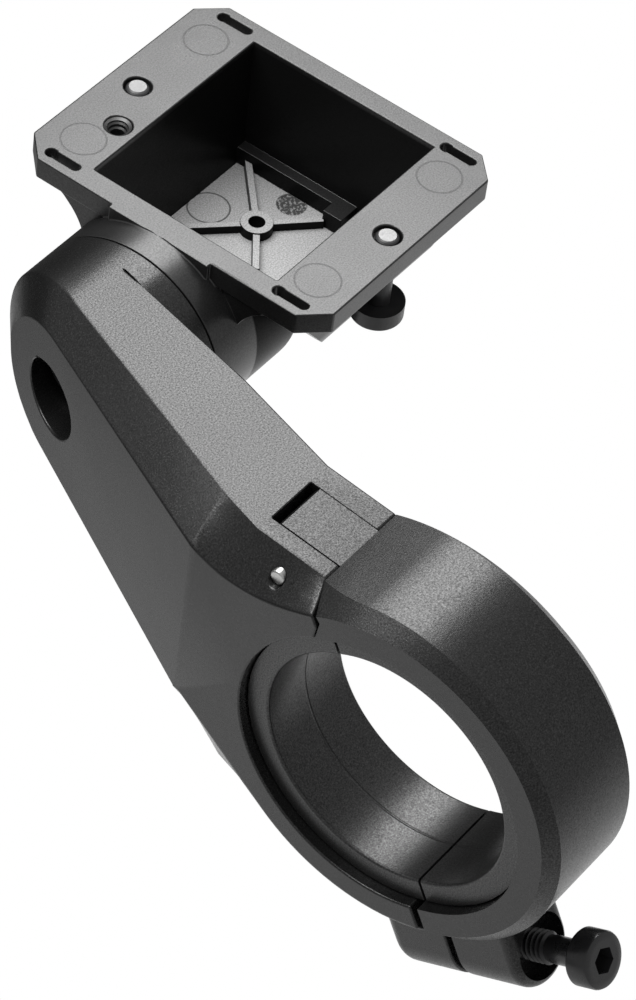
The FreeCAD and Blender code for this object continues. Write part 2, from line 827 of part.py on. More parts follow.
def floor_details():
    """Screw boss, ribs and ledge moulded on the floor of the well."""
    low = floor_z - 0.5
    high = floor_z + floor_rib_height
    cx, cy = in_well(floor_boss_share)
    parts = [Part.makeCylinder(floor_boss_radius, high - low, V(cx, cy, low))]
    for share in floor_rib_shares:
        x, y = in_well(share)
        run = V(x - cx, y - cy, 0)
        rib = block(0, run.Length, -floor_rib_width / 2, floor_rib_width / 2,
                    low, high - 0.2)
        rib.rotate(V(0, 0, 0), V(0, 0, 1), math.degrees(math.atan2(run.y, run.x)))
        rib.translate(V(cx, cy, 0))
        parts.append(rib)
    x1, y1 = well_far_x, well_end_y
    start = y1 - ledge_length
    top = floor_z + ledge_height
    parts.append(block(x1 - ledge_width, x1, start, y1, low, top))
    parts.append(block(x1 - ledge_block_width, x1, start - ledge_block_length,
                       start + 0.2, low, top))
    return parts


def flange_cuts():
    """Screw holes, spare hole and corner slots of the flange."""
    cuts = []
    spare = (tray_near_x + spare_hole_run, tray_end_y - spare_hole_inset)
    for x, y in [(tray_screw_x, y) for y in tray_screw_ys] + [spare]:
        cuts.append(Part.makeCylinder(tray_hole_radius, 8, V(x, y, flange_z - 4)))
    for x in (tray_near_x + slot_side_inset, tray_far_x - slot_side_inset):
        for y in (tray_start_y + slot_rear_inset, tray_end_y - slot_front_inset):
            cuts.append(slot_shape(x, y))
    return cuts


def make_tray():
    x0, x1, y0, y1 = tray_near_x, tray_far_x, tray_start_y, tray_end_y
    k = corner_cut
    plan = [(x0 + k, y0), (x1 - k, y0), (x1, y0 + k), (x1, y1 - k),
            (x1 - k, y1), (x0 + k, y1), (x0, y1 - k), (x0, y0 + k)]
    tray = plate(plan, flange_z, top_z)
    land = barrel_y - land_width / 2
    tray = tray.fuse(block(x0 - land_step, x0 + 1, land, land + land_width,
                           flange_z, top_z))
    stub = rod(barrel_radius, tray_barrel_x, barrel_stub_end, barrel_y, barrel_z)
    rim = edges_where(stub, lambda e: e.isClosed() and
                      abs(e.CenterOfMass.x - barrel_stub_end) < 0.01)
    stub = stub.makeFillet(stub_round, rim)
    tray = tray.fuse([stub, tray_body(), gusset()])
    tray = tray.cut(make_well())
    tray = tray.fuse(floor_details())
    boss_at = V(*in_well(floor_boss_share), floor_z - 1)
    cuts = flange_cuts() + [Part.makeCylinder(floor_boss_hole, 4, boss_at)]
    x_nut = well_near_x - 0.5
    cuts.append(rod(tilt_nut_radius, x_nut - tilt_nut_length, x_nut + 5,
                    barrel_y, barrel_z))
    cuts.append(rod(tilt_screw_radius + screw_clearance, 0, x_nut, barrel_y,
                    barrel_z))
    return tidy(tray.cut(cuts))


def make_tray_screw(y):
    low = top_z - tray_screw_length - tray_screw_head_length
    return make_screw(V(tray_screw_x, y, low), V(0, 0, 1), x_axis,
                      (tray_screw_head_radius, tray_screw_head_length),
                      (tray_screw_radius, tray_screw_length),
                      tray_screw_socket, 1.3)


def build():
    return {
        "arm": make_arm(),
        "clamp_bracket": make_bracket(),
        "hinge_pin": make_pin(),
        "arm_liner": make_liner(0, 0, True),
        "bracket_liner": make_liner(bracket_y, bracket_z, False),
        "clamp_screw": make_clamp_screw(),
        "clamp_nut": make_clamp_nut(),
        "tray": make_tray(),
        "tilt_screw": make_tilt_screw(),
        "tilt_washer": make_tilt_washer(),
        "tilt_nut": make_tilt_nut(),
        "tray_screw_rear": make_tray_screw(tray_screw_ys[0]),
        "tray_screw_front": make_tray_screw(tray_screw_ys[1]),
    }


os.makedirs("parts", exist_ok=True)
for name, shape in build().items():
    shape.exportStep("parts/" + name + ".step")
    print(name, len(shape.Solids), round(shape.Volume, 1), shape.isValid())
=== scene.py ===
import json
import math

import bmesh
import bpy
from bpy.props import FloatProperty, FloatVectorProperty, PointerProperty
from mathutils import Matrix, Vector

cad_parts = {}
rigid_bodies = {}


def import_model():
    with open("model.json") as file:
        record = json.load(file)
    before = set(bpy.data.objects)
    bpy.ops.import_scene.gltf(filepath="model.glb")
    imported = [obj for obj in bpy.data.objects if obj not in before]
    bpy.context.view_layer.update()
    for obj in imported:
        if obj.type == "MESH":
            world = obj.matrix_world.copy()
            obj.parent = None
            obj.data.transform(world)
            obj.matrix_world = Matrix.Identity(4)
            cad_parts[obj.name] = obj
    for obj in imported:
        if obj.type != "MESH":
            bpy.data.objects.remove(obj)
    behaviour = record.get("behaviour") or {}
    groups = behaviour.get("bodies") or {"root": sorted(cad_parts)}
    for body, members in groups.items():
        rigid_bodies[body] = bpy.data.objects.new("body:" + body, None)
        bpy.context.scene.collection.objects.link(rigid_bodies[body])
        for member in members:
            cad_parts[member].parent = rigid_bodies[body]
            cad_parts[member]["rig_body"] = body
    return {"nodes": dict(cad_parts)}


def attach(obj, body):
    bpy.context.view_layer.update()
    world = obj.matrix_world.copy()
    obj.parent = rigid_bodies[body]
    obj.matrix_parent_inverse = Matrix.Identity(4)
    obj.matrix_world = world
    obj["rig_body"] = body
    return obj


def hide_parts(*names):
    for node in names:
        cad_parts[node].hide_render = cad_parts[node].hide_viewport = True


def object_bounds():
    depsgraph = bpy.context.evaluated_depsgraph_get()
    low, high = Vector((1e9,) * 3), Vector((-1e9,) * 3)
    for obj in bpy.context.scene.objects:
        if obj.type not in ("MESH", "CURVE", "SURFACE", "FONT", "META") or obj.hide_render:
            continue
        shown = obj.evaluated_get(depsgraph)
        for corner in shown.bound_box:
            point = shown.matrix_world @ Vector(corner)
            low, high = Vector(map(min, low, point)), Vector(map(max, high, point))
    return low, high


bl_info = {
    "name": "Handlebar display mount",
    "version": (1, 0, 0),
    "blender": (4, 5, 0),
    "location": "View3D > Sidebar > Mount",
    "description": "Dresses a hinged handlebar mount with a tilting display tray",
    "category": "Object",
}

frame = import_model()
frame_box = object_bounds()

MM = 0.001

# Sizes and places of the mount are in millimetres, in the frame's axes

# Clamp: the way its screw goes in and the way down its split, both square to the bar
LEAN = math.radians(28)
CLOSING = Vector((0, math.cos(LEAN), -math.sin(LEAN)))
ALONG = Vector((0, -math.sin(LEAN), -math.cos(LEAN)))

# Outer circle of the bracket, whose centre lies a little back from the bar's axis
RING_RADIUS = 23.75
RING_SHIFT = 1.13

# End of the bracket's boss: the span of its blank's end along the screw, how far down the split
# and within what half width its points lie, its radius, and how near the outer circle counts
BOSS_END = (-10.1, -8.4)
BOSS_FROM = 20
BOSS_HALF = 6
BOSS_RADIUS = 5.05
ON_CIRCLE = 0.2

# Clamp screw: distance down the split, face and end along itself, then head, socket, neck and
# thread, and the angle, in degrees, from which its edges are sharp
SCREW_DROP = 28.8
SCREW_FACE = -17.8
SCREW_END = 0.0
HEAD_LENGTH = 3.0
HEAD_RADIUS = 3.5
HEAD_ROUND = 0.4
SOCKET_RIM = 2.45
SOCKET_FLATS = 3.0
SOCKET_DEPTH = 2.2
NECK_LENGTH = 4.2
NECK_RADIUS = 1.7
NECK_FILLET = 0.2
THREAD_START = 0.15
THREAD_ROOT = 1.62
THREAD_CREST = 2.0
SCREW_SHARP = 32

# One turn of the thread's ridge, as shares of the pitch
RIDGE_FOOT = (0.12, 0.88)
RIDGE_TOP = (0.44, 0.56)

# Liners: what lies beyond this along the bar is an end, and each end is trimmed
LINER_END = 6.8
LINER_TRIM = 0.4

# Ends of the arm's and the tray's half of the barrel, which meet at the seam
ARM_BARREL_END = 20.4
TRAY_BARREL_END = 20.6
NEAR_SEAM = 0.2

# Fork of the clamp hinge: behind and above these, and within this half width
FORK_FROM = (14, 13)
FORK_HALF = 8

# Run-out of the arm's top on the barrel: the points that move, the top's height at the barrel
# and its slope, and where the step down beside it fades, down to a least share
RUN_OUT_X = (15.9, 17.3)
RUN_OUT_Y = (54.0, 59.1)
RUN_OUT_Z = 21
BARREL_Y = 59.2
TOP_AT_BARREL = 22.4
TOP_SLOPE = 0.0255
FADE_END = 56.7
FADE_LENGTH = 2.5
LEAST_STEP = 0.12

# Corners of the arm where faces meet too finely to be rounded, and how far round them that holds
FINE_CORNERS = (Vector((6.3, 60.9, -0.6)),)
FINE_REACH = 2.5

# Inside of the tray's well, whose walls take painted shade, from and to along x and then y, and
# the fade beside it
WELL = (28.1, 59.6, 44.2, 72.0)
WELL_FADE = 0.3

# Heights at which the well's floor and its painted light end, its wall and its painted shade
# end, and its inner edges are all below
FLOOR_TOP = (6.0, 6.4)
WALL_TOP = (21.6, 22.0)
INNER_EDGES = 18

# Ring marks moulded in the tray, as centre and radius, and their line's width
TRAY_RINGS = (((55.66, 76.6), 2.8), ((31.35, 76.3), 2.8), ((55.67, 40.6), 2.8),
              ((31.4, 40.7), 2.8), ((48.2, 68.5), 2.7))
RING_LINE = 0.16

# Speckled dial moulded in the well's floor, as centre and radius
DIAL = ((55.8, 61.2), 2.1)

# Spare hole of the tray, and its threaded insert from the bore's floor up and round to its foot
SPARE_HOLE = (36.09, 74.77)
INSERT_OUTLINE = ((0.0, 18.4), (0.95, 18.4), (0.95, 20.9), (1.15, 21.1), (1.15, 21.5),
                  (1.35, 21.7), (1.35, 21.95), (1.72, 22.15), (1.74, 22.0), (1.74, 18.0),
                  (0.0, 18.0))
INSERT_STEPS = 40
INSERT_SHARP = 30

# Height above which the tray screws show cut steel, and how soon that begins
TIP_HEIGHT = 22.3
TIP_FADE = 0.1

# Rounding: least angle of a rounded or sharp edge and the angle over which it grows, in degrees,
# its share of the room beside it, its least share, and the cosine of two edges in one line
CREASE = 26
CREASE_FADE = 14
ROOM_SHARE = 0.45
LEAST_ROUND = 0.12
IN_LINE = 0.8
ROUND_SEGMENTS = 3

# Thinner roundings: at the barrel's seam, in the fork, in the well and on the rest of the tray
SEAM_ROUND = 0.35
FORK_ROUND = 0.5
WELL_ROUND = 0.2
TRAY_ROUND = 0.7

# Points closer than this are one, in a node's copy and in a spun piece, and faces within this
# angle, in degrees, are flat
MERGE = 0.002
SEAM_MERGE = 0.0005
FLAT = 0.6

# Range that holds most values of a noise
MOST = (0.3, 0.7)

# Colours that no setting holds
INSERT_COLOUR = (0.09, 0.09, 0.09)
BRASS_COLOUR = (0.55, 0.4, 0.18)
# Painted shade: near-black for the well's inner walls, where shade falls
WELL_WALL_SHADE = (0.005, 0.005, 0.005)
# Painted shade on the floor behind the mount, seen only in the mount's reflections
FLOOR_SHADE_COLOUR = (0.03, 0.03, 0.03)
CARD_COLOUR = (0.01, 0.01, 0.01, 1)
WHITE = (1, 1, 1, 1)

# Stage, in metres and degrees: the floor's half width and its drop below the mount, and where it
# is painted dark as shade that the mount reflects, to the far right and, less so, straight back
FLOOR_HALF = 3.0
FLOOR_DROP = 0.06
DARK_RIGHT = (0.17, 0.3)
DARK_BACK = (0.07, 0.17)
DARK_BACK_SHARE = 0.72

# Softbox over the mount
SOFTBOX_SIZE = (0.375, 0.176)
SOFTBOX_PLACE = (0.0725, 0.1345, 0.21)

# Dark card at the back right, which the mount reflects: width and height, turn and place
CARD_SIZE = (1.2, 0.34)
CARD_TURN = -36
CARD_PLACE = (0.36, 0.5, 0.06)

# Point that the camera looks past, in millimetres, and the width of its sensor
CAMERA_AIM = (7.7806, 22.1047, 16.8950)
SENSOR = 36


# Settings

class MountPlastics(bpy.types.PropertyGroup):
    body_colour: FloatVectorProperty(
        name="Body colour", description="Glass-filled plastic of arm and bracket",
        subtype="COLOR", size=3, min=0, max=1, default=(0.006, 0.006, 0.006))
    tray_colour: FloatVectorProperty(
        name="Tray colour", description="Unfilled plastic of the tray",
        subtype="COLOR", size=3, min=0, max=1, default=(0.007, 0.007, 0.007))
    liner_colour: FloatVectorProperty(
        name="Liner colour", description="Softer plastic of the two liner halves",
        subtype="COLOR", size=3, min=0, max=1, default=(0.009, 0.009, 0.009))
    grain_size: FloatProperty(
        name="Grain size", description="Width of one grain of the moulded texture",
        subtype="DISTANCE", unit="LENGTH", default=0.2 * MM, min=0.02 * MM)
    edge_round: FloatProperty(
        name="Edge rounding", description="Width of the rounding on moulded edges",
        subtype="DISTANCE", unit="LENGTH", default=0.3 * MM, min=0.0)
    gloss: FloatProperty(
        name="Roughness", description="Surface roughness of arm, bracket and tray",
        default=0.29, min=0.05, max=1.0)
    # Painted light: the well's floor is coloured lighter than the tray, standing in for the
    # overhead light that falls on it
    floor_painted_light: FloatProperty(
        name="Well floor", description="Lightness of the dull, speckled floor of the well",
        default=0.36, min=0.0, max=1.0)
    boss_trim: FloatProperty(
        name="Boss trim", description="How much shorter the bracket's boss is than its blank",
        subtype="DISTANCE", unit="LENGTH", default=1.2 * MM, min=0.0, max=1.3 * MM)


class MountMetals(bpy.types.PropertyGroup):
    black_colour: FloatVectorProperty(
        name="Black screws", description="Blackened steel of the screws",
        subtype="COLOR", size=3, min=0, max=1, default=(0.02, 0.02, 0.021))
    bright_colour: FloatVectorProperty(
        name="Bright steel", description="Steel of the hinge pin and the washer",
        subtype="COLOR", size=3, min=0, max=1, default=(0.62, 0.62, 0.61))
    tip_colour: FloatVectorProperty(
        name="Screw tips", description="Cut steel of the tray screws' tips",
        subtype="COLOR", size=3, min=0, max=1, default=(0.16, 0.16, 0.16))
    clamp_pitch: FloatProperty(
        name="Clamp thread pitch", description="Pitch of the clamp screw's thread",
        subtype="DISTANCE", unit="LENGTH", default=0.7 * MM, min=0.1 * MM)


class MountStage(bpy.types.PropertyGroup):
    azimuth: FloatProperty(
        name="Azimuth", description="Camera direction round the mount, in degrees",
        default=-58.78)
    elevation: FloatProperty(
        name="Elevation", description="Camera height above the horizon, in degrees",
        default=46.99)
    roll: FloatProperty(
        name="Roll", description="Turn of the camera about its own axis, in degrees",
        default=8.17)
    distance: FloatProperty(
        name="Distance", description="From the camera to the point it looks past",
        subtype="DISTANCE", unit="LENGTH", default=0.50567)
    lens: FloatProperty(name="Lens", description="Focal length in millimetres", default=159.92)
    floor_colour: FloatVectorProperty(
        name="Floor colour", description="Pale studio floor",
        subtype="COLOR", size=3, min=0, max=1, default=(0.80, 0.80, 0.80))
    softbox_power: FloatProperty(
        name="Softbox", description="Power of the softbox above and behind the mount, in watts",
        default=1.44, min=0.0)
    world_strength: FloatProperty(
        name="Room light", description="Light from the white room all round",
        default=0.46, min=0.0)


# Materials

def fresh_material(name):
    """New material with a principled shader alone."""
    mat = bpy.data.materials.new(name)
    mat.use_nodes = True
    tree = mat.node_tree
    tree.nodes.clear()
    out = tree.nodes.new("ShaderNodeOutputMaterial")
    shader = tree.nodes.new("ShaderNodeBsdfPrincipled")
    tree.links.new(shader.outputs["BSDF"], out.inputs["Surface"])
    return mat, tree, shader


def add(tree, kind, **values):
    """New node of a kind, with its properties set."""
    node = tree.nodes.new(kind)
    for key, value in values.items():
        setattr(node, key, value)
    return node


def maths(tree, operation, a, b=None):
    """Output of a maths node, whose inputs are numbers or other outputs."""
    node = add(tree, "ShaderNodeMath", operation=operation)
    for slot, value in zip(node.inputs, (a, b)):
        if value is None:
            continue
        if isinstance(value, bpy.types.NodeSocket):
            tree.links.new(value, slot)
        else:
            slot.default_value = value
    return node.outputs[0]


def times(tree, a, b):
    """Product of two numbers or outputs."""
    return maths(tree, "MULTIPLY", a, b)


def split(tree, vector):
    """Outputs X, Y and Z of a vector."""
    node = add(tree, "ShaderNodeSeparateXYZ")
    tree.links.new(vector, node.inputs[0])
    return node.outputs["X"], node.outputs["Y"], node.outputs["Z"]


def noise(tree, coord, scale, detail=2.0, rough=0.5):
    """Noise with about this many grains to the metre."""
    node = add(tree, "ShaderNodeTexNoise")
    node.inputs["Scale"].default_value = scale
    node.inputs["Detail"].default_value = detail
    node.inputs["Roughness"].default_value = rough
    tree.links.new(coord, node.inputs["Vector"])
    return node.outputs["Fac"]


def ramp(tree, value, low, high, out_low=0.0, out_high=1.0):
    """Straight change from one value to another between two limits, level beyond them."""
    node = add(tree, "ShaderNodeMapRange", clamp=True)
    tree.links.new(value, node.inputs["Value"])
    for name, v in (("From Min", low), ("From Max", high), ("To Min", out_low),
                    ("To Max", out_high)):
        node.inputs[name].default_value = v
    return node.outputs["Result"]


def bump(tree, height, strength, distance):
    """Surface direction of a relief."""
    node = add(tree, "ShaderNodeBump")
    node.inputs["Strength"].default_value = strength
    node.inputs["Distance"].default_value = distance
    tree.links.new(height, node.inputs["Height"])
    return node.outputs["Normal"]


def mix_colour(tree, fac, a, b):
    """Mix of two colours, of which the first may be another output."""
    node = add(tree, "ShaderNodeMix", data_type="RGBA")
    tree.links.new(fac, node.inputs["Factor"])
    if isinstance(a, bpy.types.NodeSocket):
        tree.links.new(a, node.inputs["A"])
    else:
        node.inputs["A"].default_value = (*a, 1)
    node.inputs["B"].default_value = (*b, 1)
    return node.outputs["Result"]


def grained_plastic(name, colour, grain, rough, specular, polished=False, seam=False):
    """Glass-filled plastic, calmer on a polished near side; seam is a mould line."""
    near_side = (-0.97, -0.8)
    near_grain = 0.18 if polished else 1.0
    flecks, fleck_light = (0.58, 0.74), 2.6
    patch_scale, patch_swing = 70, 0.025
    grain_swing, shine_swing = 0.04, 0.55
    seam_edge, seam_depth = (0.05 * MM, 0.2 * MM), 6.0
    relief, relief_height = 0.6, 0.02 * MM

    mat, tree, shader = fresh_material(name)
    coord = add(tree, "ShaderNodeTexCoord")
    place = coord.outputs["Object"]
    fine = noise(tree, place, 1 / grain, 2.0, 0.6)
    patches = noise(tree, place, patch_scale, 3.0, 0.55)
    across = split(tree, coord.outputs["Normal"])[0]
    amount = ramp(tree, across, *near_side, near_grain, 1.0)

    fleck = times(tree, ramp(tree, fine, *flecks), amount)
    light = tuple(v * fleck_light for v in colour)
    tree.links.new(mix_colour(tree, fleck, colour, light), shader.inputs["Base Color"])

    spread = ramp(tree, fine, *MOST, rough + grain_swing, rough - grain_swing)
    patch = ramp(tree, patches, *MOST, -patch_swing, patch_swing)
    tree.links.new(maths(tree, "ADD", spread, patch), shader.inputs["Roughness"])

    shine = times(tree, ramp(tree, fine, *MOST, -shine_swing, shine_swing), amount)
    shine = times(tree, maths(tree, "ADD", shine, 1.0), specular)
    tree.links.new(shine, shader.inputs["Specular IOR Level"])

    height = times(tree, fine, amount)
    if seam:
        off = maths(tree, "ABSOLUTE", split(tree, place)[0])
        height = maths(tree, "SUBTRACT", height, ramp(tree, off, *seam_edge, seam_depth, 0.0))
    tree.links.new(bump(tree, height, relief, relief_height), shader.inputs["Normal"])
    return mat


def ring_line(tree, x, y, centre, radius, width):
    """One on a thin circle round a centre, zero elsewhere."""
    core = 0.4
    across = maths(tree, "SUBTRACT", x, centre[0] * MM)
    along = maths(tree, "SUBTRACT", y, centre[1] * MM)
    away = maths(tree, "SQRT", maths(tree, "ADD", times(tree, across, across),
                                     times(tree, along, along)))
    off = maths(tree, "ABSOLUTE", maths(tree, "SUBTRACT", away, radius * MM))
    return ramp(tree, off, width * core * MM, width * MM, 1.0, 0.0)


def tray_plastic(name, colour, rough, floor_painted_light, grain):
    """Satin moulding with moulded ring marks, painted light on the speckled well floor and
    painted shade on the well's walls.
    """
    level, upright_below = (0.9, 0.97), (0.5, 0.7)
    patch_scale, patch_light = 110, 1.35
    ring_cover, ring_rough, ring_depth = 0.8, 0.15, 1.6
    dial_edge, dial_scale, dial_specks, dial_cover = (0.05, 0.15), 2600, (0.52, 0.6), (0.95, 0.3)
    specks, speck_cover = (0.35, 0.68), (0.55, 1.0)
    shine_range, shaded_wall_shine = (0.44, 0.84), 0.08
    gloss_range, floor_rough = (rough - 0.02, rough + 0.03), 0.5
    relief, relief_height = 0.35, 0.014 * MM

    mat, tree, shader = fresh_material(name)
    coord = add(tree, "ShaderNodeTexCoord")
    place = coord.outputs["Object"]
    fine = noise(tree, place, 1 / grain, 2.0, 0.6)
    patches = noise(tree, place, patch_scale, 3.0, 0.6)
    x, y, z = split(tree, place)
    upward = split(tree, coord.outputs["Normal"])[2]

    # Where the well's floor takes painted light and its walls take painted shade
    up = ramp(tree, upward, *level)
    low = ramp(tree, z, FLOOR_TOP[0] * MM, FLOOR_TOP[1] * MM, 1.0, 0.0)
    floor = times(tree, up, low)
    upright = ramp(tree, maths(tree, "ABSOLUTE", upward), *upright_below, 1.0, 0.0)
    wall = times(tree, upright, ramp(tree, z, WALL_TOP[0] * MM, WALL_TOP[1] * MM, 1.0, 0.0))
    for value, start, end in ((x, WELL[0], WELL[1]), (y, WELL[2], WELL[3])):
        wall = times(tree, wall, ramp(tree, value, (start - WELL_FADE) * MM, start * MM))
        wall = times(tree, wall, ramp(tree, value, end * MM, (end + WELL_FADE) * MM, 1.0, 0.0))

    # Ring marks and the dial, which keep the tray's own colour amid the painted light on the
    # floor
    marks = None
    for centre, radius in TRAY_RINGS:
        line = ring_line(tree, x, y, centre, radius, RING_LINE)
        marks = line if marks is None else maths(tree, "MAXIMUM", marks, line)
    marks = times(tree, marks, up)
    disc = ramp(tree, ring_line(tree, x, y, DIAL[0], 0.0, DIAL[1]), *dial_edge)
    coarse = noise(tree, place, dial_scale, 2.0, 0.6)
    dial = times(tree, disc, ramp(tree, coarse, *dial_specks, *dial_cover))
    hidden = maths(tree, "MAXIMUM", times(tree, marks, ring_cover), dial)

    plain = mix_colour(tree, patches, colour, tuple(v * patch_light for v in colour))
    speck = ramp(tree, fine, *specks, *speck_cover)
    # Painted light: the well's floor, mottled by the grain, is coloured lighter where the
    # overhead light falls on it
    lit_floor = times(tree, times(tree, floor, speck), maths(tree, "SUBTRACT", 1.0, hidden))
    tint = mix_colour(tree, lit_floor, plain, (floor_painted_light, floor_painted_light, floor_painted_light))
    # Painted shade: the well's walls are coloured near-black where shade falls inside the well
    tree.links.new(mix_colour(tree, wall, tint, WELL_WALL_SHADE), shader.inputs["Base Color"])

    # The walls' shine is cut down too, as part of their painted shade
    shine = times(tree, ramp(tree, fine, *MOST, *shine_range),
                  ramp(tree, wall, 0.0, 1.0, 1.0, shaded_wall_shine))
    tree.links.new(shine, shader.inputs["Specular IOR Level"])
    gloss = ramp(tree, patches, *MOST, *gloss_range)
    gloss = maths(tree, "ADD", gloss, times(tree, floor, floor_rough))
    gloss = maths(tree, "ADD", gloss, times(tree, marks, ring_rough))
    tree.links.new(gloss, shader.inputs["Roughness"])
    height = maths(tree, "SUBTRACT", fine, times(tree, marks, ring_depth))
    tree.links.new(bump(tree, height, relief, relief_height), shader.inputs["Normal"])
    return mat


def tipped_steel(name, black, bright, tip_z):
    """Blackened screw with a bright cut tip above a height."""
    grain_scale, gloss_range = 5200, (0.28, 0.5)
    relief, relief_height = 0.5, 0.02 * MM

    mat, tree, shader = fresh_material(name)
    place = add(tree, "ShaderNodeTexCoord").outputs["Object"]
    fine = noise(tree, place, grain_scale, 3.0, 0.6)
    tip = ramp(tree, split(tree, place)[2], tip_z - TIP_FADE * MM, tip_z)
    tree.links.new(mix_colour(tree, tip, black, bright), shader.inputs["Base Color"])
    tree.links.new(tip, shader.inputs["Metallic"])
    tree.links.new(ramp(tree, fine, *MOST, *gloss_range), shader.inputs["Roughness"])
    tree.links.new(bump(tree, fine, relief, relief_height), shader.inputs["Normal"])
    return mat


def steel(name, colour, rough, metallic=1.0):
    """Plain metal with a fine grain and broad, slightly darker patches."""
    grain_scale, patch_scale, patch_dark = 4200, 500, 0.8
    gloss_range = (rough - 0.05, rough + 0.08)
    relief, relief_height = 0.2, 0.01 * MM

    mat, tree, shader = fresh_material(name)
    place = add(tree, "ShaderNodeTexCoord").outputs["Object"]
    fine = noise(tree, place, grain_scale, 3.0, 0.6)
    patches = noise(tree, place, patch_scale, 3.0, 0.6)
    tree.links.new(mix_colour(tree, patches, tuple(v * patch_dark for v in colour), colour),
                   shader.inputs["Base Color"])
    shader.inputs["Metallic"].default_value = metallic
    tree.links.new(ramp(tree, patches, *MOST, *gloss_range), shader.inputs["Roughness"])
    tree.links.new(bump(tree, fine, relief, relief_height), shader.inputs["Normal"])
    return mat


def white_to_camera(tree, lit, glow):
    """White where the camera looks straight at it, and lit as it is for all other light."""
    glow.inputs["Color"].default_value = WHITE
    glow.inputs["Strength"].default_value = 1.0
    path = add(tree, "ShaderNodeLightPath")
    blend = add(tree, "ShaderNodeMixShader")
    tree.links.new(path.outputs["Is Camera Ray"], blend.inputs[0])
    tree.links.new(lit.outputs[0], blend.inputs[1])
    tree.links.new(glow.outputs[0], blend.inputs[2])
    return blend.outputs[0]


# Mesh helpers

def piece(name, bm, material, body):
    """Turn a bmesh into an object that rides on a body."""
    mesh = bpy.data.meshes.new(name)
    bm.to_mesh(mesh)
    bm.free()
    for poly in mesh.polygons:
        poly.use_smooth = True
    obj = bpy.data.objects.new(name, mesh)
    bpy.context.scene.collection.objects.link(obj)
    mesh.materials.append(material)
    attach(obj, body)
    return obj


def clean_copy(node):
    """A node's own surface with its loose triangles joined into faces."""
    bm = bmesh.new()
    bm.from_mesh(frame["nodes"][node].data)
    bmesh.ops.remove_doubles(bm, verts=bm.verts, dist=MERGE * MM)
    bmesh.ops.dissolve_degenerate(bm, dist=MERGE * MM, edges=bm.edges)
    bmesh.ops.dissolve_limit(bm, angle_limit=math.radians(FLAT), verts=bm.verts,
                             edges=bm.edges, delimit={"NORMAL"})
    return bm


def room_beside(edge, creases):
    """Length of the shortest edge that a rounding of this one would run along."""
    room = 1.0
    for vert in edge.verts:
        onward = (vert.co - edge.other_vert(vert).co).normalized()
        for other in vert.link_edges:
            if other is edge:
                continue
            step = other.other_vert(vert).co - vert.co
            if other in creases and onward.dot(step.normalized()) > IN_LINE:
                continue
            room = min(room, step.length)
    return room


def is_fine(edge):
    """True beside a corner that is too fine to be rounded."""
    return any((vert.co / MM - corner).length < FINE_REACH for vert in edge.verts
               for corner in FINE_CORNERS)


def softened(node, bm, material, width, share, clamp=False):
    """Round a node's edges and shade it smoothly; share thins the rounding."""
    weight = bm.edges.layers.float.new("bevel_weight_edge")
    creases = {edge for edge in bm.edges if len(edge.link_faces) == 2
               and edge.calc_face_angle(0) > math.radians(CREASE)}
    for edge in creases:
        if not width or is_fine(edge):
            edge.smooth = False
            continue
        middle = (edge.verts[0].co + edge.verts[1].co) / 2 / MM
        fade = (math.degrees(edge.calc_face_angle(0)) - CREASE) / CREASE_FADE
        fit = min(share(middle), fade, ROOM_SHARE * room_beside(edge, creases) / width)
        if fit < LEAST_ROUND:
            edge.smooth = False
        else:
            edge[weight] = fit
    obj = piece(node + "_skin", bm, material, frame["nodes"][node]["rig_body"])
    if width:
        bevel = obj.modifiers.new("rounding", "BEVEL")
        bevel.width = width
        bevel.segments = ROUND_SEGMENTS
        bevel.limit_method = "WEIGHT"
        bevel.use_clamp_overlap = clamp
        bevel.miter_outer = "MITER_ARC"
    even = obj.modifiers.new("even_shading", "WEIGHTED_NORMAL")
    even.mode = "FACE_AREA"
    even.keep_sharp = True
    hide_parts(node)
    return obj


def lathe(bm, outline, steps=64):
    """Spin an outline of (radius, height) points round the z axis."""
    verts = [bm.verts.new((r, 0, h)) for r, h in outline]
    edges = [bm.edges.new(pair) for pair in zip(verts, verts[1:])]
    bmesh.ops.spin(bm, geom=verts + edges, cent=(0, 0, 0), axis=(0, 0, 1),
                   angle=2 * math.pi, steps=steps, use_merge=True)


def socket_face(bm, radius, height, flats, depth):
    """Flat face from a circle in to a six-sided socket with a flat floor."""
    near = 1e-4
    hexagon = bmesh.ops.create_circle(bm, segments=6, radius=flats / math.sqrt(3))["verts"]
    bmesh.ops.translate(bm, verts=hexagon, vec=(0, 0, height))
    inner = [e for e in bm.edges if all(v in hexagon for v in e.verts)]
    outer = [e for e in bm.edges if e.is_boundary and e not in inner and all(
        abs(v.co.z - height) < near and abs(math.hypot(v.co.x, v.co.y) - radius) < near
        for v in e.verts)]
    bmesh.ops.bridge_loops(bm, edges=inner + outer)
    walls = bmesh.ops.extrude_edge_only(bm, edges=inner)["geom"]
    base = [g for g in walls if isinstance(g, bmesh.types.BMVert)]
    bmesh.ops.translate(bm, verts=base, vec=(0, 0, depth))
    rim = [g for g in walls if isinstance(g, bmesh.types.BMEdge)
           and all(v in base for v in g.verts)]
    bmesh.ops.edgeloop_fill(bm, edges=rim)


def thread(bm, root, crest, start, end, pitch, steps=32):
    """Helical ridge, made by spinning one ridge outline along the axis."""
    turns = int((end - start) / pitch) - 1
    points = ((root, 0.0), (root, RIDGE_FOOT[0]), (crest, RIDGE_TOP[0]), (crest, RIDGE_TOP[1]),
              (root, RIDGE_FOOT[1]), (root, 1.0))
    verts = [bm.verts.new((r, 0, start + share * pitch)) for r, share in points]
    edges = [bm.edges.new(pair) for pair in zip(verts, verts[1:])]
    bmesh.ops.spin(bm, geom=verts + edges, cent=(0, 0, 0), axis=(0, 0, 1),
                   dvec=(0, 0, pitch / steps), angle=2 * math.pi * turns,
                   steps=steps * turns)


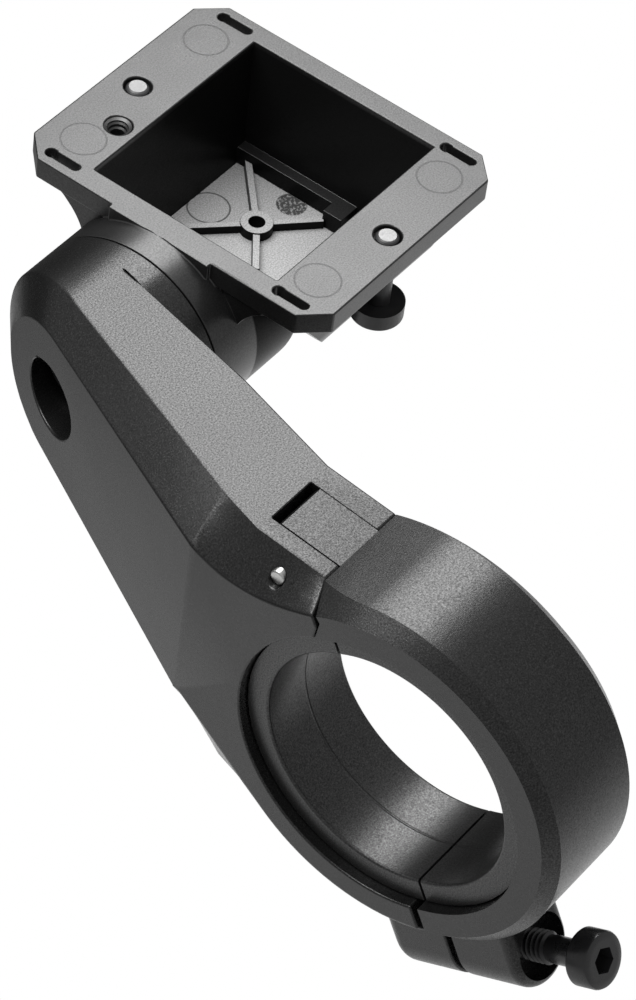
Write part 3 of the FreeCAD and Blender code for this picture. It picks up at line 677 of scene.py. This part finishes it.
def blend_valley(bm):
    """Let the arm's top run out softly on the barrel, beside its far edge."""
    for vert in bm.verts:
        x, y, z = vert.co / MM
        if (RUN_OUT_X[0] < x < RUN_OUT_X[1] and RUN_OUT_Y[0] < y < RUN_OUT_Y[1]
                and z > RUN_OUT_Z):
            top = TOP_AT_BARREL - TOP_SLOPE * (BARREL_Y - y)
            keep = min(1.0, max(LEAST_STEP, (FADE_END - y) / FADE_LENGTH))
            vert.co.z = (top - (top - z) * keep) * MM


def shorten_boss(bm, trim):
    """Move the end of the bracket's boss in along the clamp screw."""
    for vert in bm.verts:
        n, d = vert.co.dot(CLOSING) / MM, vert.co.dot(ALONG) / MM
        off = abs(vert.co.x)
        reach = math.hypot(n + RING_SHIFT, d)
        if not (BOSS_END[0] < n < BOSS_END[1] and d > BOSS_FROM and off < BOSS_HALF * MM):
            continue
        on_ring = reach < RING_RADIUS + ON_CIRCLE
        if on_ring and (reach < RING_RADIUS - ON_CIRCLE or off > BOSS_RADIUS * MM):
            continue
        moved = n + trim / MM
        if on_ring:
            d = math.sqrt(reach ** 2 - (moved + RING_SHIFT) ** 2)
        vert.co = Vector((vert.co.x, 0, 0)) + (CLOSING * moved + ALONG * d) * MM


def trim_ends(bm):
    """Let a liner end a little short of the ring at both sides."""
    for vert in bm.verts:
        if abs(vert.co.x) > LINER_END * MM:
            vert.co.x -= math.copysign(LINER_TRIM * MM, vert.co.x)


def body_share(middle):
    """Thin rounding where the arm's barrel meets the tray's, and in the fork."""
    if abs(middle.x - ARM_BARREL_END) < NEAR_SEAM:
        return SEAM_ROUND
    if middle.y > FORK_FROM[0] and middle.z > FORK_FROM[1] and abs(middle.x) < FORK_HALF:
        return FORK_ROUND
    return 1.0


def tray_share(middle):
    """Thin rounding at the barrel seam and inside the well."""
    if abs(middle.x - TRAY_BARREL_END) < NEAR_SEAM:
        return SEAM_ROUND
    if middle.z < INNER_EDGES:
        return WELL_ROUND
    return TRAY_ROUND


def sheet(name, bm, material):
    """Turn a bmesh into an object that belongs to no body."""
    mesh = bpy.data.meshes.new(name)
    bm.to_mesh(mesh)
    bm.free()
    mesh.materials.append(material)
    obj = bpy.data.objects.new(name, mesh)
    bpy.context.scene.collection.objects.link(obj)
    return obj


# Operators

class MOUNT_OT_body(bpy.types.Operator):
    """Arm, bracket and liners in glass-filled plastic"""
    bl_idname = "mount.body"
    bl_label = "Dress arm and bracket"

    def execute(self, context):
        look = context.scene.mount_plastics
        mat = grained_plastic("filled_plastic", look.body_colour, look.grain_size,
                              look.gloss, specular=0.5, polished=True)
        arm = clean_copy("arm")
        blend_valley(arm)
        softened("arm", arm, mat, look.edge_round, body_share)
        bracket = clean_copy("clamp_bracket")
        shorten_boss(bracket, look.boss_trim)
        softened("clamp_bracket", bracket, mat, look.edge_round, body_share,
                 clamp=True)
        liner = grained_plastic("liner_plastic", look.liner_colour, look.grain_size,
                                look.gloss + 0.04, specular=0.6, seam=True)
        for node in ("arm_liner", "bracket_liner"):
            shell = clean_copy(node)
            trim_ends(shell)
            softened(node, shell, liner, 0, None)
        return {"FINISHED"}


class MOUNT_OT_tray(bpy.types.Operator):
    """Tray in satin plastic, with the threaded insert of its spare hole"""
    bl_idname = "mount.tray"
    bl_label = "Dress the tray"

    def execute(self, context):
        look = context.scene.mount_plastics
        mat = tray_plastic("tray_plastic", look.tray_colour, look.gloss, look.floor_painted_light,
                           look.grain_size)
        softened("tray", clean_copy("tray"), mat, look.edge_round, tray_share)
        bm = bmesh.new()
        lathe(bm, INSERT_OUTLINE, INSERT_STEPS)
        bmesh.ops.remove_doubles(bm, verts=bm.verts, dist=SEAM_MERGE)
        bmesh.ops.recalc_face_normals(bm, faces=bm.faces)
        bmesh.ops.scale(bm, vec=(MM, MM, MM), verts=bm.verts)
        bmesh.ops.translate(bm, vec=(SPARE_HOLE[0] * MM, SPARE_HOLE[1] * MM, 0), verts=bm.verts)
        insert = steel("insert_steel", INSERT_COLOUR, rough=0.45)
        plug = piece("spare_insert", bm, insert, frame["nodes"]["tray"]["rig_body"])
        plug.data.set_sharp_from_angle(angle=math.radians(INSERT_SHARP))
        return {"FINISHED"}


class MOUNT_OT_clamp_screw(bpy.types.Operator):
    """Clamp screw with its socket, plain neck and thread"""
    bl_idname = "mount.clamp_screw"
    bl_label = "Cut the clamp screw"

    def execute(self, context):
        look = context.scene.mount_metals
        black = steel("black_screw", look.black_colour, rough=0.28, metallic=0.0)
        body = frame["nodes"]["clamp_screw"]["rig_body"]
        head_end = SCREW_FACE + HEAD_LENGTH
        neck_end = SCREW_FACE + HEAD_LENGTH + NECK_LENGTH

        bm = bmesh.new()
        lathe(bm, ((SOCKET_RIM, SCREW_FACE),
                   (HEAD_RADIUS - HEAD_ROUND, SCREW_FACE),
                   (HEAD_RADIUS - 0.35 * HEAD_ROUND, SCREW_FACE + 0.3 * HEAD_ROUND),
                   (HEAD_RADIUS, SCREW_FACE + HEAD_ROUND),
                   (HEAD_RADIUS, head_end - NECK_FILLET),
                   (HEAD_RADIUS - 0.75 * NECK_FILLET, head_end),
                   (NECK_RADIUS + NECK_FILLET, head_end),
                   (NECK_RADIUS, head_end + NECK_FILLET),
                   (NECK_RADIUS, neck_end),
                   (THREAD_ROOT, neck_end + THREAD_START),
                   (THREAD_ROOT, SCREW_END),
                   (0.0, SCREW_END)))
        socket_face(bm, SOCKET_RIM, SCREW_FACE, SOCKET_FLATS, SOCKET_DEPTH)
        thread(bm, THREAD_ROOT, THREAD_CREST, neck_end, SCREW_END, look.clamp_pitch / MM)
        bmesh.ops.remove_doubles(bm, verts=bm.verts, dist=SEAM_MERGE)
        bmesh.ops.recalc_face_normals(bm, faces=bm.faces)
        bar = Vector((1, 0, 0))
        turn = Matrix((bar, CLOSING.cross(bar), CLOSING)).transposed().to_4x4()
        place = Matrix.Translation(ALONG * SCREW_DROP * MM) @ turn
        bmesh.ops.transform(bm, matrix=place @ Matrix.Scale(MM, 4), verts=bm.verts)
        obj = piece("clamp_screw_cut", bm, black, body)
        obj.data.set_sharp_from_angle(angle=math.radians(SCREW_SHARP))
        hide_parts("clamp_screw")
        return {"FINISHED"}


class MOUNT_OT_metals(bpy.types.Operator):
    """Screws, pin, washer and hidden inserts"""
    bl_idname = "mount.metals"
    bl_label = "Dress the metal parts"

    def execute(self, context):
        look = context.scene.mount_metals
        black = steel("black_steel", look.black_colour, rough=0.34, metallic=0.0)
        bright = steel("bright_steel", look.bright_colour, rough=0.3)
        brass = steel("brass", BRASS_COLOUR, rough=0.35)
        tipped = tipped_steel("tipped_steel", look.black_colour, look.tip_colour,
                              TIP_HEIGHT * MM)
        nodes = frame["nodes"]
        for names, mat in ((("tilt_screw",), black),
                           (("tray_screw_rear", "tray_screw_front"), tipped),
                           (("hinge_pin", "tilt_washer"), bright),
                           (("clamp_nut", "tilt_nut"), brass)):
            for name in names:
                for slot in nodes[name].material_slots:
                    slot.material = mat
        return {"FINISHED"}


class MOUNT_OT_stage(bpy.types.Operator):
    """Floor, softbox, dark card, room and camera"""
    bl_idname = "mount.stage"
    bl_label = "Build the stage"

    def execute(self, context):
        look = context.scene.mount_stage
        self.build_floor(look)
        self.build_softbox(context, look)
        self.build_card()
        self.build_room(context, look)
        self.build_camera(context, look)
        context.scene.view_settings.view_transform = "Standard"
        return {"FINISHED"}

    def build_floor(self, look):
        """Floor that is white to the camera and painted dark behind the mount, as shade that the
        mount reflects.
        """
        mat, tree, shader = fresh_material("floor_paper")
        place = add(tree, "ShaderNodeTexCoord").outputs["Object"]
        x, y, z = split(tree, place)
        # Painted shade: the floor darkens to the right and straight back, so the mount reflects
        # darkness there
        right = ramp(tree, maths(tree, "ADD", x, y), *DARK_RIGHT)
        back = ramp(tree, y, *DARK_BACK, 0.0, DARK_BACK_SHARE)
        shade = maths(tree, "MAXIMUM", right, back)
        tree.links.new(mix_colour(tree, shade, look.floor_colour, FLOOR_SHADE_COLOUR),
                       shader.inputs["Base Color"])
        shader.inputs["Roughness"].default_value = 0.9
        shader.inputs["Specular IOR Level"].default_value = 0.1
        out = [n for n in tree.nodes if n.bl_idname == "ShaderNodeOutputMaterial"][0]
        glow = add(tree, "ShaderNodeEmission")
        tree.links.new(white_to_camera(tree, shader, glow), out.inputs["Surface"])

        bm = bmesh.new()
        bmesh.ops.create_grid(bm, x_segments=1, y_segments=1, size=FLOOR_HALF)
        bmesh.ops.translate(bm, verts=bm.verts, vec=(0, 0, frame_box[0].z - FLOOR_DROP))
        floor = sheet("floor", bm, mat)

    def build_softbox(self, context, look):
        """Softbox straight above, facing down."""
        light = bpy.data.lights.new("overhead_softbox", "AREA")
        light.shape = "RECTANGLE"
        light.size, light.size_y = SOFTBOX_SIZE
        light.energy = look.softbox_power
        softbox = bpy.data.objects.new("overhead_softbox", light)
        context.scene.collection.objects.link(softbox)
        softbox.location = SOFTBOX_PLACE
        softbox.visible_camera = False

    def build_card(self):
        """Upright dark card that the camera doesn't see."""
        mat, tree, shader = fresh_material("card_black")
        shader.inputs["Base Color"].default_value = CARD_COLOUR
        shader.inputs["Roughness"].default_value = 0.9

        bm = bmesh.new()
        bmesh.ops.create_grid(bm, x_segments=1, y_segments=1, size=0.5)
        bmesh.ops.scale(bm, vec=(*CARD_SIZE, 1), verts=bm.verts)
        for angle, axis in ((90, "X"), (CARD_TURN, "Z")):
            bmesh.ops.transform(bm, matrix=Matrix.Rotation(math.radians(angle), 4, axis),
                                verts=bm.verts)
        bmesh.ops.translate(bm, vec=CARD_PLACE, verts=bm.verts)
        board = sheet("dark_card", bm, mat)
        board.visible_camera = False

    def build_room(self, context, look):
        """White room, plain white where the camera sees it."""
        world = bpy.data.worlds.new("studio")
        context.scene.world = world
        world.use_nodes = True
        tree = world.node_tree
        tree.nodes.clear()
        out = add(tree, "ShaderNodeOutputWorld")
        dim = add(tree, "ShaderNodeBackground")
        dim.inputs["Color"].default_value = WHITE
        dim.inputs["Strength"].default_value = look.world_strength
        white = add(tree, "ShaderNodeBackground")
        tree.links.new(white_to_camera(tree, dim, white), out.inputs["Surface"])

    def build_camera(self, context, look):
        """Camera at a direction, height and distance from the point it looks past."""
        a, e, r = (math.radians(v) for v in (look.azimuth, look.elevation, look.roll))
        back = Vector((math.sin(a) * math.cos(e), -math.cos(a) * math.cos(e), math.sin(e)))
        side = Vector((math.cos(a), math.sin(a), 0))
        up = back.cross(side)
        right = side * math.cos(r) + up * math.sin(r)
        top = up * math.cos(r) - side * math.sin(r)
        data = bpy.data.cameras.new("camera")
        data.lens = look.lens
        data.sensor_width = SENSOR
        data.clip_start = 0.01
        data.clip_end = 50
        camera = bpy.data.objects.new("camera", data)
        context.scene.collection.objects.link(camera)
        place = Vector(CAMERA_AIM) * MM + back * look.distance
        turn = Matrix((right, top, back)).transposed().to_4x4()
        camera.matrix_world = Matrix.Translation(place) @ turn
        context.scene.camera = camera


class MOUNT_PT_panel(bpy.types.Panel):
    """Settings and operators of the mount"""
    bl_label = "Display mount"
    bl_idname = "MOUNT_PT_panel"
    bl_space_type = "VIEW_3D"
    bl_region_type = "UI"
    bl_category = "Mount"

    def draw(self, context):
        layout = self.layout
        for group in (context.scene.mount_plastics, context.scene.mount_metals,
                      context.scene.mount_stage):
            box = layout.box()
            for name in group.bl_rna.properties.keys():
                if name not in ("rna_type", "name"):
                    box.prop(group, name)
        for op in OPERATORS:
            layout.operator(op.bl_idname)


OPERATORS = (MOUNT_OT_body, MOUNT_OT_tray, MOUNT_OT_clamp_screw, MOUNT_OT_metals,
             MOUNT_OT_stage)
CLASSES = (MountPlastics, MountMetals, MountStage) + OPERATORS + (MOUNT_PT_panel,)


def register():
    for cls in CLASSES:
        bpy.utils.register_class(cls)
    bpy.types.Scene.mount_plastics = PointerProperty(type=MountPlastics)
    bpy.types.Scene.mount_metals = PointerProperty(type=MountMetals)
    bpy.types.Scene.mount_stage = PointerProperty(type=MountStage)


def unregister():
    del bpy.types.Scene.mount_stage
    del bpy.types.Scene.mount_metals
    del bpy.types.Scene.mount_plastics
    for cls in reversed(CLASSES):
        bpy.utils.unregister_class(cls)


def main():
    register()
    bpy.ops.mount.body()
    bpy.ops.mount.tray()
    bpy.ops.mount.clamp_screw()
    bpy.ops.mount.metals()
    bpy.ops.mount.stage()
    bpy.context.view_layer.update()


if __name__ == "__main__":
    main()
